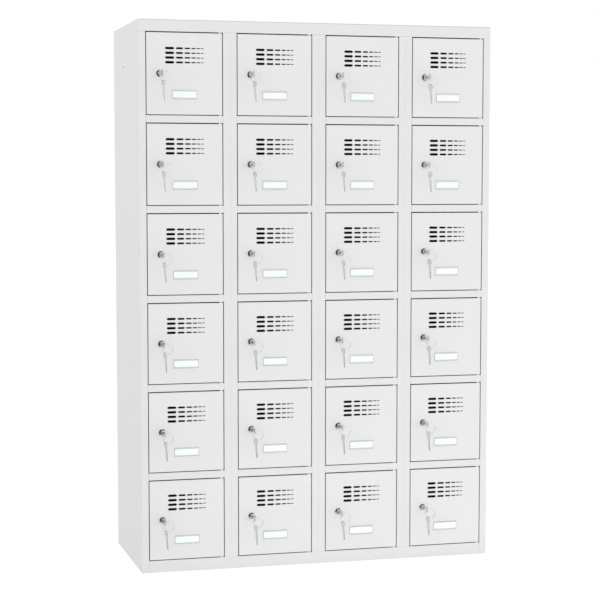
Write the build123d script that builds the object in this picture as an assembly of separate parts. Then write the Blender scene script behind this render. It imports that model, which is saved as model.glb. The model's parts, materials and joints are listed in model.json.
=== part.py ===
from build123d import *
import math
import os

# Steel luggage locker: four columns of six small compartments. Millimetres, +Z up.
# The origin is the middle of the footprint, on the floor. The doors face -Y.

# Overall size
width = 1200.0
depth = 500.0
height = 1800.0
columns = 4
rows = 6

# Sheet and folds
sheet = 1.0
lip = 12.0
stile_face = 23.0
stile_fold = 15.0
top_rail_height = 38.0
bottom_rail_height = 39.0
cross_rail_height = 23.5
rail_fold = 24.0
floor_fold = 15.0

# Doors
door_gap = 2.5
top_gap = 3.3
door_fold = 15.0
pin_inset = 7.0
pin_setback = 5.0

# Hinge pins and washers
pin_radius = 2.5
pin_reach = 3.0
pin_head_radius = 3.8
pin_head = 2.0
pin_fit = 0.06
washer_radius = 4.75
washer_bore_fit = 0.1
washer_play = 0.3

# Vent slots: each column of slots is smaller than the one before
vent_rows = 4
vent_columns = 6
vent_length = 29.2
vent_height = 8.0
vent_space = 6.35
vent_shrink = 0.79
vent_drop = 49.8
vent_pitch = 15.03

# Lock, cam and keys
lock_inset = 43.75
collar_radius = 11.5
collar_height = 5.0
collar_edge = 3.6
barrel_radius = 9.0
barrel_length = 15.5
barrel_fit = 0.2
nut_across = 25.0
nut_height = 3.0
plug_radius = 6.5
plug_fit = 0.05
plug_recess = 0.5
tail_size = 6.0
tail_fit = 0.1
cam_length = 56.0
cam_width = 12.0
cam_sheet = 2.0
cam_gap = 1.0
screw_head_radius = 4.2
screw_head = 2.2
screw_radius = 1.9
screw_slot = 1.0
tap_wall = 0.8
tap_spare = 0.5
key_sheet = 1.8
key_fit = 0.12
bow_radius = 10.5
bow_hole_radius = 2.9
bow_rim = 3.0
neck_length = 28.5
neck_width = 10.0
key_stop = 2.5
blade_width = 7.0
bit_depth = 1.6
bit_count = 4
ring_radius = 17.0
ring_wire = 0.7
ring_lean = 39.0
spare_place = 237.0
spare_play = 0.3
spare_turn = 20.0
spare_tilt = 5.0

# Card holder and its blank card
holder_width = 82.0
holder_height = 28.5
holder_drop = 197.45
holder_back = 0.8
holder_pocket = 0.7
holder_lip = 0.7
holder_rail = 4.0
card_width = 79.4
card_height = 26.2
card_sheet = 0.4
card_play = 0.15

# Holes in the sides, which bolt one locker to the next, and the wall-fixing holes in the back
bolt_radius = 2.75
bolt_front = 45.0
bolt_rear = 415.0
bolt_levels = (101.0, 466.0, 1340.0, 1570.0)
wall_hole_radius = 4.0
wall_hole_drop = 100.0
wall_hole_inset = 150.0
side_hole_radius = 5.0
side_hole_setback = 296.0
side_hole_level = 1665.0

# Places that follow from the sizes above
front = -depth / 2
rear = depth / 2
bay = width / columns
open_width = bay - 2 * stile_face
open_height = (height - top_rail_height - bottom_rail_height - (rows - 1) * cross_rail_height) / rows
door_width = open_width - 2 * door_gap
door_height = open_height - door_gap - top_gap
rail_bottom = height - top_rail_height
pin_y = front + pin_setback
lock_height = open_height / 2 - door_gap
holder_thick = holder_back + holder_pocket + holder_lip
cam_front = barrel_length + cam_gap
plug_front = collar_height - plug_recess
blade_length = barrel_length + plug_front - key_stop
keyway_end = blade_length - plug_front + key_fit
tap_end = keyway_end + tap_wall
bow_centre = plug_front + neck_length + bow_radius
bow_hole = bow_centre + bow_radius - bow_rim - bow_hole_radius


def block(x0, x1, y0, y1, z0, z1):
    """A box from its two corners."""
    middle = Pos((x0 + x1) / 2, (y0 + y1) / 2, (z0 + z1) / 2)
    return middle * Box(x1 - x0, y1 - y0, z1 - z0)


def upright_rod(x, y, z0, z1, radius):
    """A round bar along Z."""
    return Pos(x, y, (z0 + z1) / 2) * Cylinder(radius, z1 - z0)


def cross_rod(x, z, y0, y1, radius):
    """A round bar along Y."""
    return Pos(x, (y0 + y1) / 2, z) * Rot(90, 0, 0) * Cylinder(radius, y1 - y0)


def side_rod(y, z, x0, x1, radius):
    """A round bar along X."""
    return Pos((x0 + x1) / 2, y, z) * Rot(0, 90, 0) * Cylinder(radius, x1 - x0)


def facing(x, y, z):
    """A plane that faces the front, with its own X to the right and its own Y up."""
    return Plane(origin=(x, y, z), x_dir=(1, 0, 0), z_dir=(0, -1, 0))


def bay_left(column):
    return -width / 2 + (column - 1) * bay


def open_left(column):
    return bay_left(column) + stile_face


def open_bottom(row):
    """The lower edge of a row's door openings; row 1 is the top row."""
    return bottom_rail_height + (rows - row) * (open_height + cross_rail_height)


def hinge_x(column):
    return open_left(column) + open_width - door_gap - pin_inset


def save(name, pieces):
    export_step(Compound(label=name, children=list(pieces)), f"parts/{name}.step")


# Carcass

def side_panel(outer, inner):
    """A flat side sheet between two X planes, with the holes that bolt it to a neighbour."""
    low, high = min(outer, inner), max(outer, inner)
    panel = block(low, high, front + sheet, rear, 0, height - sheet)
    for level in bolt_levels:
        for setback in (bolt_front, bolt_rear):
            panel -= side_rod(front + setback, level, low - 1, high + 1, bolt_radius)
    panel -= side_rod(front + side_hole_setback, side_hole_level, low - 1, high + 1, side_hole_radius)
    return panel


def divider(x0):
    """One wall of a column, notched round the top rail's folds and the top sheet's rear lip."""
    wall = block(x0, x0 + sheet, front + sheet, rear - sheet, bottom_rail_height, height - sheet)
    wall -= block(x0 - 1, x0 + 1 + sheet, front, front + rail_fold, rail_bottom, height)
    return wall - block(x0 - 1, x0 + 1 + sheet, rear - 2 * sheet, rear, height - sheet - lip, height)


def stile(edge, toward, foot):
    """A folded upright: its face, the fold beside the door and the fold welded to the wall sheet."""
    wall = edge + toward * sheet
    opening = edge + toward * stile_face

    def span(a, b, y0, y1):
        return block(min(a, b), max(a, b), y0, y1, foot, rail_bottom)

    face = span(edge, opening, front, front + sheet)
    door_side = span(opening - toward * sheet, opening, front, front + stile_fold)
    wall_side = span(wall, wall + toward * sheet, front, front + stile_fold)
    return face + door_side + wall_side


def top_panel():
    """The top sheet with its rear and side lips, which lie inside the back and side sheets."""
    inner = width / 2 - sheet
    plate = block(-width / 2, width / 2, front, rear, height - sheet, height)
    low = height - sheet - lip
    plate += block(-inner, inner, rear - 2 * sheet, rear - sheet, low, height)
    for x0 in (-inner, inner - sheet):
        plate += block(x0, x0 + sheet, front + rail_fold, rear - sheet, low, height)
    return plate


def top_rail():
    """The channel above the doors. Its lower fold carries the top row's hinge pins."""
    inner = width / 2 - sheet
    rail = block(-width / 2, width / 2, front, front + sheet, rail_bottom, height - sheet)
    rail += block(-inner, inner, front, front + rail_fold, height - 2 * sheet, height - sheet)
    rail += block(-inner, inner, front, front + rail_fold, rail_bottom, rail_bottom + sheet)
    for column in range(1, columns + 1):
        rail -= upright_rod(hinge_x(column), pin_y, rail_bottom - 1, rail_bottom + 2, pin_radius + pin_fit)
    return rail


def base_panel():
    """The tray under the lowest row. Its front wall is the bottom rail and its foot folds meet the floor."""
    inner = width / 2 - sheet
    back = rear - sheet
    tray = block(-inner, inner, front, back, 0, bottom_rail_height)
    under = bottom_rail_height - sheet
    tray -= block(-inner + sheet, inner - sheet, front + sheet, back - sheet, sheet, under)
    x1 = inner - floor_fold
    tray -= block(-x1, x1, front + floor_fold, back - floor_fold, -1, under)
    for side in (-1, 1):
        a, b = sorted((side * width / 2, side * (width / 2 - stile_face)))
        tray -= block(a, b, front - 1, front + stile_fold, -1, bottom_rail_height + 1)
    for column in range(1, columns + 1):
        tray -= upright_rod(hinge_x(column), pin_y, under - 1, bottom_rail_height + 1, pin_radius + pin_fit)
    return tray


def back_panel():
    """The flat back sheet with four holes for fixing it to a wall."""
    inner = width / 2 - sheet
    panel = block(-inner, inner, rear - sheet, rear, 0, height - sheet)
    for x in (-width / 2 + wall_hole_inset, width / 2 - wall_hole_inset):
        for z in (height - wall_hole_drop, wall_hole_drop + bottom_rail_height):
            panel -= cross_rod(x, z, rear - 2, rear + 1, wall_hole_radius)
    return panel


def shelf(column, row):
    """The floor of one compartment, welded under its cross rail's upper fold and to the back."""
    x0, x1 = bay_left(column) + sheet, bay_left(column) + bay - sheet
    y0, y1 = front + stile_fold, rear - sheet
    top = open_bottom(row) - sheet
    tray = block(x0, x1, y0, y1, top - lip, top)
    return tray - block(x0 + sheet, x1 - sheet, y0 - 1, y1 - sheet, top - lip - 1, top - sheet)


def cross_rail(column, row):
    """The channel under one row's door, between two stiles. Its folds carry hinge pins."""
    x0, x1 = open_left(column), open_left(column) + open_width
    top = open_bottom(row)
    bottom = top - cross_rail_height
    rail = block(x0, x1, front, front + rail_fold, bottom, top)
    rail -= block(x0 - 1, x1 + 1, front + sheet, front + rail_fold + 1, bottom + sheet, top - sheet)
    return rail - upright_rod(hinge_x(column), pin_y, bottom - 1, top + 1, pin_radius + pin_fit)


def hinge_pin(column, flange, up):
    """A headed pin through a rail fold; up is 1 where it points up into the door, -1 where it points down."""
    x = hinge_x(column)
    gap = door_gap if up > 0 else top_gap
    head = sorted((flange - up * sheet, flange - up * (sheet + pin_head)))
    shank = sorted((flange - up * sheet, flange + up * (gap + sheet + pin_reach)))
    return upright_rod(x, pin_y, *head, pin_head_radius) + upright_rod(x, pin_y, *shank, pin_radius)


def hinge_washer(column, flange, up):
    """The washer that fills the gap between a rail and its door."""
    gap = door_gap if up > 0 else top_gap
    z = sorted((flange, flange + up * (gap - washer_play)))
    ring = upright_rod(hinge_x(column), pin_y, *z, washer_radius)
    return ring - upright_rod(hinge_x(column), pin_y, *z, pin_radius + washer_bore_fit)


def hinge_places():
    """Every hinge as its column, the face of the rail fold it stands on, and the way it points."""
    for row in range(1, rows + 1):
        for column in range(1, columns + 1):
            yield column, open_bottom(row), 1
            yield column, open_bottom(row) + open_height, -1


# One door, with its lower left front corner at the origin

def vents():
    """The slots as prisms through the sheet, centred on the door's width."""
    ratios = [vent_shrink**i for i in range(vent_columns)]
    total = vent_length * sum(ratios) + vent_space * sum(ratios[:-1])
    cuts = []
    x = (door_width - total) / 2
    for ratio in ratios:
        x += vent_length * ratio / 2
        for i in range(vent_rows):
            z = door_height - vent_drop - i * vent_pitch
            slot = facing(x, sheet, z) * SlotOverall(vent_length * ratio, vent_height * ratio)
            cuts.append(extrude(slot, 2 * sheet))
        x += (vent_length / 2 + vent_space) * ratio
    return cuts


def door_leaf():
    """The folded door pan with its vents, its lock hole and the holes for the hinge pins."""
    leaf = block(0, door_width, 0, door_fold, 0, door_height)
    leaf -= block(sheet, door_width - sheet, sheet, door_fold + 1, sheet, door_height - sheet)
    leaf -= vents()
    leaf -= cross_rod(lock_inset, lock_height, -1, 2 * sheet, barrel_radius + barrel_fit)
    return leaf - upright_rod(door_width - pin_inset, pin_setback, -1, door_height + 1, pin_radius + pin_fit)


def lock_housing():
    """The collar in front of the door and the barrel through it, bored for the plug."""
    collar = cross_rod(lock_inset, lock_height, -collar_height, 0, collar_radius)
    collar = chamfer(collar.edges().group_by(Axis.Y)[0], collar_edge)
    barrel = cross_rod(lock_inset, lock_height, 0, barrel_length, barrel_radius)
    bore = cross_rod(lock_inset, lock_height, -collar_height - 1, barrel_length + 1, plug_radius + plug_fit)
    return collar + barrel - bore


def lock_nut():
    """The hexagon nut that holds the barrel behind the sheet."""
    outline = RegularPolygon(nut_across / 2, 6, major_radius=False)
    nut = extrude(facing(lock_inset, sheet + nut_height, lock_height) * outline, nut_height)
    return nut - cross_rod(lock_inset, lock_height, 0, 2 * nut_height, barrel_radius + barrel_fit)


def card_holder():
    """The clear holder on the door: a back, a pocket and a lip all round the window."""
    x0, z0 = (door_width - holder_width) / 2, door_height - holder_drop - holder_height / 2
    x1, z1 = x0 + holder_width, z0 + holder_height
    wall = (holder_width - card_width) / 2 - card_play
    pocket = holder_back + holder_pocket
    holder = block(x0, x1, -holder_thick, 0, z0, z1)
    holder -= block(x0 + wall, x1 - wall, -pocket, -holder_back, z0 + wall, z1 - wall)
    return holder - block(x0 + wall, x1 + 1, -holder_thick - 1, -pocket, z0 + holder_rail, z1 - holder_rail)


def card():
    """The blank card in the holder's pocket."""
    x0 = (door_width - card_width) / 2
    z0 = door_height - holder_drop - card_height / 2
    back = -holder_back - card_play
    return block(x0, x0 + card_width, back - card_sheet, back, z0, z0 + card_height)


def key():
    """A key in the YZ plane: its tip at the origin and its bow towards -Y."""
    low = -blade_width / 2
    step = blade_length / (bit_count + 1)
    points = [(0, low + bit_depth)]
    for i in range(1, bit_count + 1):
        y = step * i
        points += [(y - step / 4, low), (y, low + bit_depth), (y + step / 4, low)]
    points += [(blade_length, low), (blade_length, -low), (step / 2, -low), (0, 0)]
    blade = make_face(Polyline(*points, close=True))
    neck_end = blade_length + neck_length + bow_radius
    neck = Pos((blade_length + neck_end) / 2, 0) * Rectangle(neck_end - blade_length, neck_width)
    bow = Pos(neck_end, 0) * Circle(bow_radius)
    hole = Pos(neck_end + bow_radius - bow_rim - bow_hole_radius, 0) * Circle(bow_hole_radius)
    side_on = Plane(origin=(-key_sheet / 2, 0, 0), x_dir=(0, -1, 0), z_dir=(1, 0, 0))
    return extrude(side_on * (blade + neck + bow - hole), key_sheet)


def ring_centre():
    """The key ring's centre, beside and below the hole in the bow of the key in the lock."""
    lean = math.radians(ring_lean)
    return (
        lock_inset + ring_radius * math.sin(lean),
        -bow_hole,
        lock_height - ring_radius * math.cos(lean),
    )


def key_ring():
    return Pos(*ring_centre()) * Rot(90, 0, 0) * Torus(ring_radius, ring_wire)


def spare_key():
    """The second key, hanging on the ring with its bow at the top, turned and tilted a little."""
    x, y, z = ring_centre()
    place = math.radians(spare_place)
    slant = math.acos(abs(math.sin(place)) * math.cos(math.radians(spare_turn)))
    wire_room = (ring_wire + key_sheet / 2 * math.sin(slant)) / math.cos(slant)
    drop = bow_hole_radius - spare_play - wire_room
    hole_to_tip = blade_length + neck_length + 2 * bow_radius - bow_rim - bow_hole_radius
    hang = Pos(x + ring_radius * math.cos(place), y, z + ring_radius * math.sin(place) - drop)
    hang *= Rot(0, -spare_tilt, 0) * Rot(0, 0, spare_turn)
    return hang * Pos(0, 0, -hole_to_tip) * Rot(-90, 0, 0) * key()


# The turning parts of one lock, in the same place as its door

def lock_plug():
    """The plug with its keyway and the square tail that turns the cam."""
    plug = cross_rod(lock_inset, lock_height, -plug_front, barrel_length, plug_radius)
    tail_end = cam_front + cam_sheet
    half = tail_size / 2
    x0, x1, z0, z1 = lock_inset - half, lock_inset + half, lock_height - half, lock_height + half
    plug += block(x0, x1, barrel_length, tail_end, z0, z1)
    slot, tall = key_sheet / 2 + key_fit, blade_width / 2 + key_fit
    x0, x1, z0, z1 = lock_inset - slot, lock_inset + slot, lock_height - tall, lock_height + tall
    plug -= block(x0, x1, -plug_front - 1, keyway_end, z0, z1)
    return plug - cross_rod(lock_inset, lock_height, tap_end, tail_end + 1, screw_radius + tail_fit)


def lock_cam():
    """The flat cam behind the door, pointing up while the door is unlocked."""
    middle = facing(lock_inset, cam_front + cam_sheet, lock_height)
    tip = cam_length - cam_width / 2
    outline = Circle(cam_width / 2) + Pos(0, tip) * Circle(cam_width / 2)
    outline += Pos(0, tip / 2) * Rectangle(cam_width, tip)
    outline -= Rectangle(tail_size + 2 * tail_fit, tail_size + 2 * tail_fit)
    return extrude(middle * outline, cam_sheet)


def cam_screw():
    """The screw that holds the cam on the plug's tail."""
    seat = cam_front + cam_sheet
    head = cross_rod(lock_inset, lock_height, seat, seat + screw_head, screw_head_radius)
    slot = block(
        lock_inset - screw_head_radius,
        lock_inset + screw_head_radius,
        seat + screw_head / 2,
        seat + screw_head + 1,
        lock_height - screw_slot / 2,
        lock_height + screw_slot / 2,
    )
    return head - slot + cross_rod(lock_inset, lock_height, tap_end + tap_spare, seat, screw_radius)


def key_in_lock():
    tip = blade_length - plug_front
    return Pos(lock_inset, tip, lock_height) * key()


os.makedirs("parts", exist_ok=True)

half = width / 2
inner_edges = [bay_left(column) for column in range(2, columns + 1)]
cells = [(column, row) for row in range(1, rows + 1) for column in range(1, columns + 1)]

save("left_side_panel", [side_panel(-half, -half + sheet)])
save("right_side_panel", [side_panel(half, half - sheet)])
save("divider_panels", [divider(x) for edge in inner_edges for x in (edge - sheet, edge)])
stiles = [stile(-half, 1, 0), stile(half, -1, 0)]
stiles += [stile(edge, toward, bottom_rail_height) for edge in inner_edges for toward in (-1, 1)]
save("front_stiles", stiles)
save("top_panel", [top_panel()])
save("top_rail", [top_rail()])
save("base_panel", [base_panel()])
save("back_panel", [back_panel()])
save("shelves", [shelf(column, row) for column, row in cells if row < rows])
save("cross_rails", [cross_rail(column, row) for column, row in cells if row < rows])
save("hinge_pins", [hinge_pin(*place) for place in hinge_places()])
save("hinge_washers", [hinge_washer(*place) for place in hinge_places()])

door_pieces = [door_leaf(), lock_housing(), lock_nut(), card_holder(), card(), key_ring(), spare_key()]
lock_pieces = [lock_plug(), lock_cam(), cam_screw(), key_in_lock()]
for column, row in cells:
    place = Pos(open_left(column) + door_gap, front, open_bottom(row) + door_gap)
    save(f"door_r{row}c{column}", [place * piece for piece in door_pieces])
    save(f"lock_r{row}c{column}", [place * piece for piece in lock_pieces])
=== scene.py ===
"""The looks of a steel luggage locker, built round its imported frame. Metres, +Z up; the doors face -Y."""
import json
import math
from functools import partial

import bmesh
import bpy
from bpy.props import FloatProperty, FloatVectorProperty, IntProperty, PointerProperty
from bpy.types import Operator, Panel, PropertyGroup
from mathutils import Matrix, Vector
from mathutils.geometry import delaunay_2d_cdt

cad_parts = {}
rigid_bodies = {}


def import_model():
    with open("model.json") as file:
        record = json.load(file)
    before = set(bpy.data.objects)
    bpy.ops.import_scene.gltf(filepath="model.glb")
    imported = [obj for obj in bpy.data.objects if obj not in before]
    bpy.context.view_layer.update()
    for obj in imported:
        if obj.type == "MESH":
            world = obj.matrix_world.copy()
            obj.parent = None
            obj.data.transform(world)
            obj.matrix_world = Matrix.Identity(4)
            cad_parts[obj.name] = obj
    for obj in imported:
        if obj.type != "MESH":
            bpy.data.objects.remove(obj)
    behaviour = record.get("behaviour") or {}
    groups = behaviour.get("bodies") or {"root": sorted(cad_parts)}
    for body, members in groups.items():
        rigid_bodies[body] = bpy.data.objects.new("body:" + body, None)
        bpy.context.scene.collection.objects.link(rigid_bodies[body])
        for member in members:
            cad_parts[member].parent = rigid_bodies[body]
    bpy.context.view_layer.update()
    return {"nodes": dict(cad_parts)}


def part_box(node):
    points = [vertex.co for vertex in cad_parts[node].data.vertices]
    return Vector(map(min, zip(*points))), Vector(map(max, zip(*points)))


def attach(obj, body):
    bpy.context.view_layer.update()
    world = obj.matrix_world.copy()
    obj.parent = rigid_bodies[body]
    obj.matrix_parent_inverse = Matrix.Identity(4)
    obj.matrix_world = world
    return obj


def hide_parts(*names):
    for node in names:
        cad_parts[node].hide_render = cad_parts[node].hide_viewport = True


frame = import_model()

bl_info = {
    "name": "Luggage Locker",
    "version": (1, 0, 0),
    "blender": (4, 5, 0),
    "location": "3D View > Sidebar > Locker",
    "description": "Builds a steel cabinet of small lockers with doors, cam locks, keys and card holders",
    "category": "Add Mesh",
}

MM = 0.001
WELD = 1e-7  # points nearer than this are one point
SHARP = math.radians(50)  # folds over this angle stay sharp in the shading
PAST = 2 * MM  # how far a cutter reaches beyond the sheet that it cuts
# Faces behind this depth take the darker inner coat, which is painted shade
INNER = 1.2  # where a folded front turns into its inside, in sheet thicknesses behind the front

# Ways to turn a flat outline (u, v) of thickness w into place
FRONTAL = Matrix(((1, 0, 0, 0), (0, 0, -1, 0), (0, 1, 0, 0), (0, 0, 0, 1)))
SIDEWAYS = Matrix(((0, 0, 1, 0), (1, 0, 0, 0), (0, 1, 0, 0), (0, 0, 0, 1)))
UPRIGHT = Matrix.Identity(4)


# Sizes and colours

def length(name, description, default):
    return FloatProperty(
        name=name, description=description, default=default, min=0.0, precision=5,
        subtype="DISTANCE", unit="LENGTH",
    )


def tint(name, description, default):
    return FloatVectorProperty(
        name=name, description=description, default=default, min=0.0, max=1.0, size=3, subtype="COLOR",
    )


def share(name, description, default):
    return FloatProperty(
        name=name, description=description, default=default, min=0.0, max=1.0, subtype="FACTOR",
    )


def bearing(name, description, default):
    return FloatProperty(name=name, description=description, default=default, subtype="ANGLE")


def spot(name, description, default):
    return FloatVectorProperty(
        name=name, description=description, default=default, subtype="TRANSLATION", unit="LENGTH",
    )


class SheetSizes(PropertyGroup):
    """The folded steel of the carcass and the doors."""
    thick: length("Sheet", "Thickness of the steel sheet", 1 * MM)
    bend: length("Bend", "Inner radius of a fold", 0.7 * MM)
    rim: length("Rim", "Rounding of a cut edge under the paint", 0.2 * MM)
    stile_face: length("Stile face", "Width of the upright beside a door", 23 * MM)
    stile_fold: length("Stile fold", "Depth of an upright's folds", 15 * MM)
    rail_fold: length("Rail fold", "Depth of a rail's folds", 24 * MM)
    lip: length("Lip", "Depth of the shelves' and the top's lips", 12 * MM)
    floor_fold: length("Foot fold", "Width of the folds that stand on the floor", 15 * MM)
    corner: length("Sheet corner", "Rounding of a flat sheet's corners", 0.3 * MM)
    tray_corner: length("Tray corner", "Rounding of a tray's upright corners", 0.8 * MM)
    end_rim: length("End rim", "Rounding of the cut ends of rails and stiles", 0.12 * MM)
    bolt_radius: length("Joining hole", "Radius of the holes that bolt two cabinets together", 2.75 * MM)
    bolt_front: length("Front bolts", "Front joining holes behind the side's front edge", 44 * MM)
    bolt_rear: length("Rear bolts", "Rear joining holes behind the side's front edge", 414 * MM)
    bolt_levels: FloatVectorProperty(
        name="Bolt levels", description="Heights of the joining holes", size=4, unit="LENGTH",
        default=(101 * MM, 466 * MM, 1340 * MM, 1570 * MM),
    )
    side_hole_radius: length("Side hole", "Radius of the larger hole in each side", 5 * MM)
    side_hole_back: length("Side hole's place", "Larger hole behind the side's front edge", 295 * MM)
    side_hole_level: length("Side hole's height", "Height of the larger hole", 1665 * MM)
    wall_hole_radius: length("Wall hole", "Radius of the wall-fixing holes in the back", 4 * MM)
    wall_inset: length("Wall hole inset", "Wall-fixing holes from the cabinet's sides", 150 * MM)
    wall_drop: length("Wall hole drop", "Wall-fixing holes from the top and from the base tray", 100 * MM)


class DoorSizes(PropertyGroup):
    """A door, its vents and its hinges."""
    gap: length("Gap", "Space beside and under a door", 2.5 * MM)
    top_gap: length("Top gap", "Space over a door", 3.3 * MM)
    fold: length("Fold", "Depth of the door's folded rim", 15 * MM)
    corner: length("Corner", "Rounding of the door's corners", 1.2 * MM)
    pin_inset: length("Pin inset", "Hinge pin from the door's right edge", 7 * MM)
    pin_setback: length("Pin setback", "Hinge pin from the front", 5 * MM)
    pin_radius: length("Pin radius", "Radius of a hinge pin", 2.5 * MM)
    pin_fit: length("Pin fit", "Free space round a pin in its hole", 0.06 * MM)
    pin_head_radius: length("Pin head radius", "Radius of a hinge pin's head", 3.8 * MM)
    pin_head: length("Pin head", "Height of a hinge pin's head", 2 * MM)
    pin_reach: length("Pin reach", "How far a pin stands out beyond the door's fold", 3 * MM)
    washer_radius: length("Washer radius", "Radius of a hinge washer", 4.75 * MM)
    washer_play: length("Washer play", "Free height left over a washer", 0.3 * MM)
    washer_fit: length("Washer fit", "Free space between a washer and its pin", 0.1 * MM)
    vent_rows: IntProperty(name="Vent rows", description="Rows of slots in a door", default=4, min=1)
    vent_columns: IntProperty(name="Vent columns", description="Slots in each row", default=6, min=1)
    vent_length: length("Vent length", "Length of the largest slot", 29.2 * MM)
    vent_height: length("Vent height", "Height of the largest slot", 8 * MM)
    vent_space: length("Vent space", "Space after the largest slot", 6.35 * MM)
    vent_shrink: share("Vent shrink", "Size of each slot beside the one before", 0.79)
    vent_drop: length("Vent drop", "Top row of slots below the door's top edge", 49.8 * MM)
    vent_pitch: length("Vent pitch", "Rows of slots apart", 15.03 * MM)
    vent_rim: length("Vent rim", "Rounding of a slot's edges", 0.12 * MM)


class LockSizes(PropertyGroup):
    """The cam lock."""
    inset: length("Inset", "Lock from the door's left edge", 43.75 * MM)
    rise: length("Rise", "Lock above the door's lower edge", 131.2917 * MM)
    collar_radius: length("Collar radius", "Radius of the collar in front of the door", 11.5 * MM)
    collar_height: length("Collar height", "How far the collar stands proud", 5 * MM)
    collar_edge: length("Collar edge", "Slope round the collar's front", 3.6 * MM)
    barrel_radius: length("Barrel radius", "Radius of the threaded barrel", 9 * MM)
    barrel_length: length("Barrel length", "Barrel behind the door's face", 15.5 * MM)
    barrel_fit: length("Barrel fit", "Free space round the barrel in its holes", 0.2 * MM)
    thread_pitch: length("Thread pitch", "Pitch of the barrel's thread", 1.5 * MM)
    thread_deep: length("Thread depth", "Depth of the barrel's thread", 0.5 * MM)
    nut_across: length("Nut", "Width across the nut's flats", 25 * MM)
    nut_height: length("Nut height", "Height of the nut", 3 * MM)
    plug_radius: length("Plug radius", "Radius of the turning plug", 6.5 * MM)
    plug_fit: length("Plug fit", "Free space round the plug", 0.05 * MM)
    plug_recess: length("Plug recess", "Plug's face below the collar's", 0.5 * MM)
    tail: length("Tail", "Side of the plug's square tail", 6 * MM)
    tail_fit: length("Tail fit", "Free space round the tail and the cam screw", 0.1 * MM)
    cam_length: length("Cam length", "Cam from the lock's axis to its tip", 56 * MM)
    cam_width: length("Cam width", "Width of the cam", 12 * MM)
    cam_sheet: length("Cam sheet", "Thickness of the cam", 2 * MM)
    cam_gap: length("Cam gap", "Space between the barrel and the cam", 1 * MM)
    screw_head_radius: length("Screw head radius", "Radius of the cam screw's head", 4.2 * MM)
    screw_head: length("Screw head", "Height of the cam screw's head", 2.2 * MM)
    screw_radius: length("Screw radius", "Radius of the cam screw", 1.9 * MM)
    screw_slot: length("Screw slot", "Width of the slot in the screw's head", 1 * MM)
    screw_length: length("Screw length", "Screw under its head", 4.08 * MM)
    screw_pitch: length("Screw pitch", "Pitch of the cam screw's thread", 0.7 * MM)
    screw_deep: length("Screw thread", "Depth of the cam screw's thread", 0.25 * MM)
    bore_length: length("Bore length", "Depth of the hole in the plug's tail", 4.58 * MM)
    keyway_depth: length("Keyway depth", "End of the keyway behind the door's face", 13.12 * MM)
    key_fit: length("Key fit", "Free space round the key in the plug", 0.12 * MM)


class KeySizes(PropertyGroup):
    """The key in the lock, the ring through its bow and the spare key."""
    sheet: length("Key sheet", "Thickness of a key", 1.8 * MM)
    bow_radius: length("Bow radius", "Radius of a key's bow", 10.5 * MM)
    bow_hole: length("Bow hole", "Radius of the hole in the bow", 2.9 * MM)
    bow_rim: length("Bow rim", "Bow left beyond its hole", 3 * MM)
    neck_length: length("Neck", "Length between the blade and the bow", 28.5 * MM)
    neck_width: length("Neck width", "Width of the neck", 10 * MM)
    blade_length: length("Blade", "Length of the blade", 17.5 * MM)
    blade_width: length("Blade width", "Width of the blade", 7 * MM)
    bit_depth: length("Bit depth", "Depth of the cuts in the blade", 1.6 * MM)
    bits: IntProperty(name="Bits", description="Cuts in the blade", default=4, min=1)
    ring_radius: length("Ring radius", "Radius of the key ring at its wire's middle", 17 * MM)
    wire: length("Wire", "Radius of the key ring's two coils together", 0.7 * MM)
    ring_lean: bearing("Ring lean", "Where the ring's middle lies, round the bow's hole", math.radians(39))
    ring_start: bearing("Ring start", "Turn of the wire's open ends round the ring", math.radians(-75))
    spare_place: bearing("Spare key's place", "Where round the ring the spare key hangs", math.radians(237))
    spare_turn: bearing("Spare key's turn", "The hanging key's turn towards the left", math.radians(20))
    spare_tilt: bearing("Spare key's tilt", "The hanging key's lean, its tip to the right", math.radians(5))
    spare_play: length("Spare play", "Free space between the ring and the spare key's hole", 0.3 * MM)


class CardSizes(PropertyGroup):
    """The clear holder and the blank card in it."""
    holder_width: length("Holder width", "Width of the holder", 82 * MM)
    holder_height: length("Holder height", "Height of the holder", 28.5 * MM)
    drop: length("Drop", "Holder's middle below the door's top edge", 197.45 * MM)
    back: length("Back", "Thickness of the holder's back", 0.8 * MM)
    pocket: length("Pocket", "Depth of the pocket", 0.7 * MM)
    front_lip: length("Front lip", "Thickness of the lip in front of the card", 0.7 * MM)
    rail: length("Rail", "Height of the lip over and under the window", 4 * MM)
    wall: length("Wall", "Thickness of the holder's ends", 1.15 * MM)
    width: length("Card width", "Width of the card", 79.4 * MM)
    height: length("Card height", "Height of the card", 26.2 * MM)
    sheet: length("Card sheet", "Thickness of the card", 0.4 * MM)
    play: length("Play", "Space between the card and the holder's back", 0.15 * MM)
    corner: length("Corner", "Rounding of the holder's corners", 1.2 * MM)
    card_corner: length("Card corner", "Rounding of the card's corners", 0.8 * MM)


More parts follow.
